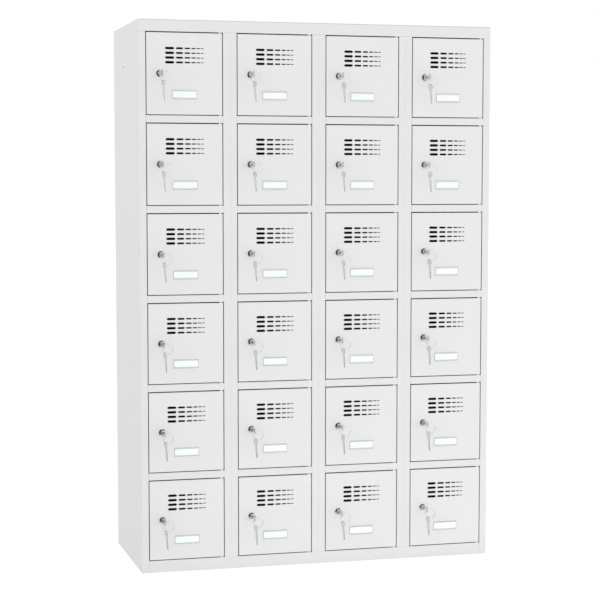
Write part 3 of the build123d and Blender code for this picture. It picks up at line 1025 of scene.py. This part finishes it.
class LOCKER_OT_dividers(Operator):
    """Make the walls between the columns"""
    bl_idname, bl_label = "locker.dividers", "Dividers"

    def execute(self, context):
        settings = context.scene.locker
        sheet = settings.sheet
        t = sheet.thick
        low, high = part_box("divider_panels")
        rail_low, rail_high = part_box("top_rail")
        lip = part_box("top_panel")[0].z
        outline = [(low.y, low.z), (high.y, low.z), (high.y, lip), (high.y - t, lip), (high.y - t, high.z),
                   (rail_high.y, high.z), (rail_high.y, rail_low.z), (low.y, rail_low.z)]
        wall = plate(outline, t, sheet.rim, (), 0, SIDEWAYS)
        places = [(x, 0, 0) for edge in bay_edges()[1:-1] for x in (edge - t, edge)]
        mesh = gathered([(wall, place) for place in places])
        # The dividers take the darker inner coat all over: painted shade inside the compartments
        show_steel(settings, "divider_sheets", mesh, "divider_panels")
        return {"FINISHED"}


class LOCKER_OT_hinges(Operator):
    """Make the headed hinge pins and their washers"""
    bl_idname, bl_label = "locker.hinges", "Hinge pins and washers"

    def execute(self, context):
        settings = context.scene.locker
        door, t = settings.door, settings.sheet.thick
        head, r, outer = door.pin_head_radius, door.pin_radius, door.washer_radius
        rim, blunt, tip, thin = 0.3 * MM, 0.2 * MM, 0.7 * MM, 0.6 * MM
        bore, top, seat, slope = r + door.washer_fit, -t - door.pin_head, -t, -t - door.pin_head * 0.7
        width, height = door_size()
        up = Matrix.Rotation(math.pi / 2, 4, "X")
        pins, washers = [], []
        for way, gap, level in ((up, door.gap, -door.gap),
                                (up.inverted(), door.top_gap, height + door.top_gap)):
            end, tall = gap + t + door.pin_reach, gap - door.washer_play
            pin = turned([(0, top), (head * 0.7, top), (head, slope), (head, seat - blunt),
                          (head - blunt, seat), (r, seat), (r, end - tip), (r - thin, end), (0, end)], 32)
            washer = turned([(bore, rim), (bore + rim, 0), (outer - rim, 0), (outer, rim), (outer, tall - rim),
                             (outer - rim, tall), (bore + rim, tall), (bore, tall - rim)], 32, ring=True)
            at = Vector((width - door.pin_inset, door.pin_setback, level))
            for mesh, kept in ((pin, pins), (washer, washers)):
                mesh.transform(way)
                kept += [(mesh, door_corner(cell) + at) for cell, _, _ in compartments()]
        nylon = moulded_nylon("white_nylon", settings.finish.nylon)
        for parts, node, metal, slot in ((pins, "hinge_pins", zinc(settings), "bright_steel"),
                                         (washers, "hinge_washers", nylon, "white_nylon")):
            show(f"{node[:-1]}_set", finished(gathered(parts), node, metal), "carcass", node)
        return {"FINISHED"}


# Doors

def vent_holes(door, width, height):
    """Each slot as an outline that can be widened, smaller to the right and centred on the door."""
    ratios = [door.vent_shrink ** i for i in range(door.vent_columns)]
    x = (width - door.vent_length * sum(ratios) - door.vent_space * sum(ratios[:-1])) / 2
    holes = []
    for ratio in ratios:
        long, high = door.vent_length * ratio, door.vent_height * ratio
        for i in range(door.vent_rows):
            z = height - door.vent_drop - i * door.vent_pitch
            holes.append(partial(slot_outline, x + long / 2, z, long, high))
        x += long + door.vent_space * ratio
    return holes


class LOCKER_OT_doors(Operator):
    """Make the folded doors with their vents"""
    bl_idname, bl_label = "locker.doors", "Doors"

    def execute(self, context):
        settings = context.scene.locker
        sheet, door, lock = settings.sheet, settings.door, settings.lock
        width, height = door_size()
        holes = vent_holes(door, width, height)
        barrel = lock.barrel_radius + lock.barrel_fit
        holes.append(lambda grow: circle(lock.inset, lock.rise, barrel + grow))
        profile = wall_profile(door.fold, sheet)
        leaf = pan(width, height, profile, sheet.thick, door.corner, holes, door.vent_rim)
        leaf = carved(leaf, [pin_hole(settings, width - door.pin_inset, 0, z) for z in (0, height)])
        # The door's folds, back and slot walls take the darker inner coat: painted shade in the gaps and the
        # vents
        coats = paint(settings, "door"), paint(settings, "inner")
        mesh = finished(leaf, "door_leaf", *coats, inside=behind(0.3 * sheet.thick))
        for cell, _, _ in compartments():
            body = f"door_{cell}"
            show(f"{body}_leaf", mesh, body, body, door_corner(cell))
        return {"FINISHED"}


class LOCKER_OT_cards(Operator):
    """Make the clear card holders and the blank cards"""
    bl_idname, bl_label = "locker.cards", "Card holders and cards"

    def execute(self, context):
        settings = context.scene.locker
        card = settings.card
        width, height = door_size()
        half, tall = card.holder_width / 2, card.holder_height / 2
        pocket, thick = card.back + card.pocket, card.back + card.pocket + card.front_lip
        wall, rail, rim, card_rim = card.wall, card.rail, 0.25 * MM, 0.08 * MM
        body = plate(oblong(-half, half, -tall, tall, card.corner), thick, rim, (), 0, FRONTAL)
        body = carved(body, [
            block(wall - half, half - wall, -pocket, -card.back, wall - tall, tall - wall),
            block(wall - half, half + wall, -2 * thick, -pocket, rail - tall, tall - rail),
        ])
        plastic = clear_plastic("clear_plastic", settings.finish.plastic, settings.finish.plastic_cover)
        holder = finished(body, "card_holder", plastic)
        half, tall = card.width / 2, card.height / 2
        outline = oblong(-half, half, -tall, tall, card.card_corner)
        leaf = plate(outline, card.sheet, card_rim, (), card.back + card.play, FRONTAL)
        blank = finished(leaf, "blank_card", card_stock("white_card", settings.finish.card))
        for cell, _, _ in compartments():
            node = f"door_{cell}"
            place = door_corner(cell) + Vector((width / 2, 0, height - card.drop))
            show(f"{node}_card_holder", holder, node, node, place)
            show(f"{node}_card", blank, node, node, place)
        return {"FINISHED"}


# Locks and keys, about the lock's axis at the door's face

class LOCKER_OT_housings(Operator):
    """Make the lock collars with their threaded barrels, and the nuts"""
    bl_idname, bl_label = "locker.housings", "Lock housings and nuts"

    def execute(self, context):
        settings = context.scene.locker
        lock = settings.lock
        outer, slope, r, back = lock.collar_radius, lock.collar_edge, lock.barrel_radius, lock.barrel_length
        bore, front, edge = lock.plug_radius + lock.plug_fit, -lock.collar_height, 0.2 * MM
        soft, mouth, foot = 0.45 * MM, 0.3 * MM, 0.15 * MM
        cap = rounded([(bore, front), (outer - slope, front), (outer, front + slope), (outer, 0)],
                      [mouth, soft, soft, foot])
        barrel = threaded(r, 0.9 * MM, back - 0.6 * MM, lock.thread_pitch)
        profile = [*cap, (r, 0), *barrel, (r - 0.5 * MM, back), (bore + edge, back), (bore, back - edge)]
        thread = (1 * MM, back - 0.7 * MM, lock.thread_pitch, lock.thread_deep)
        chrome = chrome_plate("collar_chrome", settings.finish.chrome, settings.finish.collar_roughness)
        collar = finished(turned(profile, ring=True, thread=thread), "lock_housing", chrome)

        reach, corner, rim = lock.nut_across / 2 / math.cos(math.pi / 6), 0.8 * MM, 0.35 * MM
        hexagon = rounded(arc((0, 0), reach, 0, math.tau * 5 / 6, 5), corner)
        hole = circle(0, 0, r + lock.barrel_fit)
        level = -settings.sheet.thick - lock.nut_height
        nut = plate(hexagon, lock.nut_height, rim, [hole], level, FRONTAL)
        nut = finished(nut, "lock_nut", zinc(settings))
        for cell, _, _ in compartments():
            node, place = f"door_{cell}", lock_place(cell, settings)
            show(f"{node}_lock_housing", collar, node, node, place)
            show(f"{node}_lock_nut", nut, node, node, place)
        return {"FINISHED"}


class LOCKER_OT_plugs(Operator):
    """Make the turning plugs with their cams and cam screws"""
    bl_idname, bl_label = "locker.plugs", "Plugs, cams and screws"

    def execute(self, context):
        settings = context.scene.locker
        lock, key = settings.lock, settings.key
        r, front = lock.plug_radius, lock.plug_recess - lock.collar_height
        barrel, seat = lock.barrel_length, lock.barrel_length + lock.cam_gap + lock.cam_sheet
        half, hole, bore = lock.tail / 2, lock.tail / 2 + lock.tail_fit, lock.screw_radius + lock.tail_fit
        groove = 0.15 * MM
        profile = [(0, front), (0.80 * r, front), (0.82 * r, front + groove), (0.87 * r, front + groove),
                   (0.89 * r, front), (0.95 * r, front), (r, front + 2 * groove), (r, barrel), (0, barrel)]
        slot, tall = key.sheet / 2 + lock.key_fit, key.blade_width / 2 + lock.key_fit
        plug = carved(
            turned(profile, 56),
            [block(-slot, slot, 2 * front, lock.keyway_depth, -tall, tall),
             rod(bore, -seat - PAST, lock.bore_length - seat, way=FRONTAL)],
            [block(-half, half, barrel - 1 * MM, seat, -half, half)],
        )
        satin = chrome_plate("plug_chrome", settings.finish.plug, settings.finish.plug_roughness)
        plug = finished(plug, "lock_plug", satin)

        width, rim, corner = lock.cam_width / 2, 0.3 * MM, 0.15 * MM
        tip = lock.cam_length - width
        outline = arc((0, tip), width, 0, math.pi, 16) + arc((0, 0), width, math.pi, math.tau, 16)
        square = oblong(-hole, hole, -hole, hole, corner)
        cam = plate(outline, lock.cam_sheet, rim, [square], -seat, FRONTAL)
        cam = finished(cam, "lock_cam", zinc(settings))

        head, high, shank, pitch = lock.screw_head_radius, lock.screw_head, lock.screw_radius, lock.screw_pitch
        start, blunt, point = seat - lock.screw_length, 0.2 * MM, 0.4 * MM
        profile = [(0, start), (shank - point, start), *threaded(shank, start + point, seat - 0.3 * MM, pitch),
                   (shank, seat), (head - blunt, seat), (head, seat + blunt), (head, seat + high * 0.55),
                   (head * 0.85, seat + high * 0.85), (head * 0.55, seat + high), (0, seat + high)]
        screw = turned(profile, 36, thread=(start + 0.3 * MM, seat - 0.2 * MM, pitch, lock.screw_deep))
        slit = lock.screw_slot / 2
        screw = carved(screw, [block(-head - slit, head + slit, seat + high / 2, seat + 2 * high, -slit, slit)])
        screw = finished(screw, "cam_screw", zinc(settings))
        for cell, _, _ in compartments():
            node, place = f"lock_{cell}", lock_place(cell, settings)
            show(f"{node}_plug", plug, node, node, place)
            show(f"{node}_cam", cam, node, node, place)
            show(f"{node}_cam_screw", screw, node, node, place)
        return {"FINISHED"}


def key_mesh(key):
    """A key in the YZ plane, its tip at the origin, its bow towards -Y and its cuts on top."""
    low, blade, neck = -key.blade_width / 2, key.blade_length, key.neck_width / 2
    step, valley, peak, shoulder, tip = blade / (key.bits + 1), 0.25 * MM, 0.15 * MM, 0.8 * MM, 0.2 * MM
    rim, edge = 0.3 * MM, 0.4 * MM
    points, radii = [(0, low + key.bit_depth)], [tip]
    for i in range(1, key.bits + 1):
        u = step * i
        points += [(u - step / 4, low), (u, low + key.bit_depth), (u + step / 4, low)]
        radii += [peak, valley, peak]
    middle = blade + key.neck_length + key.bow_radius
    meet = middle - math.sqrt(key.bow_radius ** 2 - neck ** 2)
    points += [(blade, low), (blade, -neck), (meet, -neck)]
    radii += [rim, shoulder, 0]
    outline = rounded([*points, (meet, neck), (blade, neck), (blade, -low), (step / 2, -low), (0, 0)],
                      [*radii, 0, shoulder, rim, edge, rim])
    at = outline.index(next(p for p in outline if abs(p[0] - meet) < WELD and p[1] < 0)) + 1
    reach = math.atan2(neck, middle - meet)
    bow = arc((middle, 0), key.bow_radius, reach - math.pi, math.pi - reach, 40)
    outline[at:at] = bow[1:-1]
    hole = circle(middle + key.bow_radius - key.bow_rim - key.bow_hole, 0, key.bow_hole, 28)
    mesh = plate(outline, key.sheet, rim, [hole], -key.sheet / 2)

    half, deep, shallow = key.sheet / 2, 0.4 * MM, 0.25 * MM
    dish, dish_radius = (middle - 4.1 * MM, 0, 0), 4.4 * MM
    grooves = [block(1 * MM, blade + 3 * MM, 0.2 * MM, 1.5 * MM, face - deep, face + deep)
               for face in (-half, half)]
    dishes = [rod(dish_radius, face - shallow, face + shallow, dish) for face in (-half, half)]
    mesh = carved(mesh, grooves + dishes)
    mesh.transform(Matrix(((0, 0, -1, 0), (-1, 0, 0, 0), (0, -1, 0, 0), (0, 0, 0, 1))))
    return mesh


def split_ring(key, steps=72, sides=10):
    """A key ring of two flat coils that lie side by side, open at their ends."""
    shape, loops = bmesh.new(), []
    coil, radial, axial = key.wire / 2, key.wire * 0.88, key.wire * 0.48
    jog = 0.09  # half of the stretch where the wire steps across to its second coil, in turns
    for i in range(2 * steps + 1):
        turns = i / steps
        cross = min(1.0, max(0.0, (turns - 1 + jog) / (2 * jog)))
        y = coil * (2 * cross * cross * (3 - 2 * cross) - 1)
        angle, loop = math.tau * turns, []
        for u, v in circle(0, 0, 1, sides):
            r = key.ring_radius + radial * u
            loop.append(shape.verts.new((r * math.cos(angle), y + axial * v, r * math.sin(angle))))
        loops.append(loop)
    for first, second in zip(loops, loops[1:]):
        bridge(shape, first, second)
    shape.faces.new(loops[0])
    shape.faces.new(loops[-1])
    return from_bmesh(shape)


class LOCKER_OT_keys(Operator):
    """Make the keys in the locks, their rings and the spare keys"""
    bl_idname, bl_label = "locker.keys", "Keys and key rings"

    def execute(self, context):
        settings = context.scene.locker
        key, lock = settings.key, settings.lock
        front = lock.collar_height - lock.plug_recess
        first = key_mesh(key)
        first.transform(Matrix.Translation((0, key.blade_length - front, 0)))
        hole_to_tip = key.blade_length + key.neck_length + 2 * key.bow_radius - key.bow_rim - key.bow_hole
        bow_hole = hole_to_tip - key.blade_length + front
        centre = Vector((key.ring_radius * math.sin(key.ring_lean), -bow_hole,
                         -key.ring_radius * math.cos(key.ring_lean)))
        where = key.spare_place
        slant = math.acos(abs(math.sin(where)) * math.cos(key.spare_turn))
        wire_room = (key.wire + key.sheet / 2 * math.sin(slant)) / math.cos(slant)
        drop = key.bow_hole - key.spare_play - wire_room
        hang = centre + Vector((key.ring_radius * math.cos(where), 0, key.ring_radius * math.sin(where) - drop))
        spare = key_mesh(key)
        spare.transform(
            Matrix.Translation(hang) @ Matrix.Rotation(-key.spare_tilt, 4, "Y")
            @ Matrix.Rotation(key.spare_turn, 4, "Z") @ Matrix.Translation((0, 0, -hole_to_tip))
            @ Matrix.Rotation(-math.pi / 2, 4, "X"))
        ring = split_ring(key)
        ring.transform(Matrix.Translation(centre) @ Matrix.Rotation(key.ring_start, 4, "Y"))
        metal = brushed_nickel("key_nickel", settings.finish.key)
        bright = brushed_nickel("ring_nickel", settings.finish.ring)
        first, spare, ring = (finished(mesh, name, plated) for mesh, name, plated in
                              ((first, "key", metal), (spare, "spare_key", metal), (ring, "key_ring", bright)))
        for cell, _, _ in compartments():
            at = lock_place(cell, settings)
            door, plug = f"door_{cell}", f"lock_{cell}"
            show(f"{plug}_key", first, plug, plug, at)
            show(f"{door}_key_ring", ring, door, door, at)
            show(f"{door}_spare_key", spare, door, door, at)
        return {"FINISHED"}


# Stage

def paper_floor(studio):
    """A floor that is white to the camera but for the object's shadow. To everything else it is a pale light
    table, paler near the front, with a dark board on its left that only shows in bright metal."""
    recipe, place = fresh("studio_floor")
    # Where the zones begin and end, in metres from the middle of the floor
    left = (-1 * recipe.axis(place, "X")).step(0.2, 0.9)
    before = (-1 * recipe.axis(place, "Y")).step(0.2, 0.35)
    board = before * (left * 0.4 + 0.6) * recipe.path("Is Glossy Ray")
    away = recipe.node("ShaderNodeVectorMath", {"operation": "LENGTH"}, place, out="Value").step(0.9, 3.2)
    near = (1 - away) * before * (1 - left)
    even = recipe.blend(near, studio.floor_colour, scaled(studio.floor_colour, studio.floor_lift))
    pale = recipe.blend(board, even, studio.board_colour)
    paper = recipe.node("ShaderNodeBsdfDiffuse", {}, pale)
    table = recipe.node("ShaderNodeEmission", {}, pale, 1.0)
    white = recipe.node("ShaderNodeEmission", {}, (1, 1, 1, 1), studio.floor_glow)
    keep = 1.05 - studio.floor_glow  # the lit share, a little over, so that the bare floor is white
    shade = recipe.node("ShaderNodeBsdfDiffuse", {}, (keep, keep, keep, 1))
    thrown = recipe.node("ShaderNodeAddShader", {}, paper, table)
    shown = recipe.node("ShaderNodeAddShader", {}, white, shade)
    mixed = recipe.node("ShaderNodeMixShader", {}, recipe.path("Is Camera Ray"), thrown, shown)
    recipe.node("ShaderNodeOutputMaterial", {}, Surface=mixed)
    return recipe.owner


def white_surroundings(world, studio):
    """Even light from all round, white where it is seen. In metal it shows the dim corner of a studio, on the
    left and overhead."""
    recipe = Recipe(world)
    # Where the zones begin and end, as parts of a direction of length 1
    direction = recipe.node("ShaderNodeTexCoord", {}, out="Generated")
    before = (-1 * recipe.axis(direction, "Y")).step(-0.3, 0.05)
    left = (-1 * recipe.axis(direction, "X")).step(0.30, 0.55) * before
    above = recipe.axis(direction, "Z").step(0.5, 0.75)
    dim = 1 - (left * 0.96 + above * 0.85 - left * above * 0.84)
    seen = recipe.path("Is Camera Ray") + recipe.path("Is Transmission Ray")
    gloss = recipe.path("Is Glossy Ray")
    strength = seen + gloss * dim + (1 - seen - gloss) * studio.ambient
    sky = recipe.node("ShaderNodeBackground", {}, (1, 1, 1, 1), strength)
    recipe.node("ShaderNodeOutputWorld", {}, Surface=sky)


class LOCKER_OT_stage(Operator):
    """Make the floor, the surroundings, the lamp and the camera"""
    bl_idname, bl_label = "locker.stage", "Stage"

    def execute(self, context):
        studio, scene = context.scene.locker.studio, context.scene
        shape = bmesh.new()
        bmesh.ops.create_grid(shape, x_segments=6, y_segments=6, size=studio.floor)
        mesh = from_bmesh(shape)
        mesh.materials.append(paper_floor(studio))
        floor = bpy.data.objects.new("studio_floor", mesh)
        scene.collection.objects.link(floor)

        scene.world = scene.world or bpy.data.worlds.new("surroundings")
        white_surroundings(scene.world, studio)

        lamp = bpy.data.lights.new("soft_lamp", "AREA")
        lamp.energy, lamp.size, lamp.shape = studio.lamp_power, studio.lamp_size, "SQUARE"
        light = bpy.data.objects.new("soft_lamp", lamp)
        scene.collection.objects.link(light)
        light.location = studio.lamp_place
        aim = Vector(studio.lamp_aim) - light.location
        light.rotation_mode, light.rotation_quaternion = "QUATERNION", aim.to_track_quat("-Z", "Y")

        camera = bpy.data.cameras.new("camera")
        camera.lens, camera.sensor_width, camera.shift_y = studio.lens, 36.0, studio.shift
        camera.clip_start, camera.clip_end = 50 * MM, 200.0
        viewer = bpy.data.objects.new("camera", camera)
        scene.collection.objects.link(viewer)
        viewer.location = studio.camera_place
        viewer.rotation_euler = (math.pi / 2 - studio.camera_tip, 0, -studio.camera_turn)
        scene.camera = viewer
        scene.view_settings.view_transform = "Standard"
        return {"FINISHED"}


OPERATORS = (
    LOCKER_OT_stage, LOCKER_OT_sides, LOCKER_OT_back, LOCKER_OT_top, LOCKER_OT_base, LOCKER_OT_stiles,
    LOCKER_OT_cross_rails, LOCKER_OT_shelves, LOCKER_OT_dividers, LOCKER_OT_hinges, LOCKER_OT_doors,
    LOCKER_OT_cards, LOCKER_OT_housings, LOCKER_OT_plugs, LOCKER_OT_keys,
)


class LOCKER_PT_panel(Panel):
    """The sidebar's list of the locker's pieces and settings"""
    bl_idname, bl_label = "LOCKER_PT_panel", "Luggage locker"
    bl_space_type, bl_region_type, bl_category = "VIEW_3D", "UI", "Locker"

    def draw(self, context):
        settings = context.scene.locker
        for group in ("sheet", "door", "lock", "key", "card", "finish", "studio"):
            box = self.layout.box()
            box.label(text=group.capitalize())
            for name in getattr(settings, group).__annotations__:
                box.prop(getattr(settings, group), name)
        for operator in OPERATORS:
            self.layout.operator(operator.bl_idname)


GROUPS = (SheetSizes, DoorSizes, LockSizes, KeySizes, CardSizes, Finishes, Studio, LockerSettings)
CLASSES = (*GROUPS, *OPERATORS, LOCKER_PT_panel)


def register():
    for kind in CLASSES:
        bpy.utils.register_class(kind)
    bpy.types.Scene.locker = PointerProperty(
        type=LockerSettings, name="Locker", description="Sizes and colours",
    )


def unregister():
    del bpy.types.Scene.locker
    for kind in reversed(CLASSES):
        bpy.utils.unregister_class(kind)


def main():
    register()
    for operator in OPERATORS:
        group, action = operator.bl_idname.split(".")
        getattr(getattr(bpy.ops, group), action)()


if __name__ == "__main__":
    main()
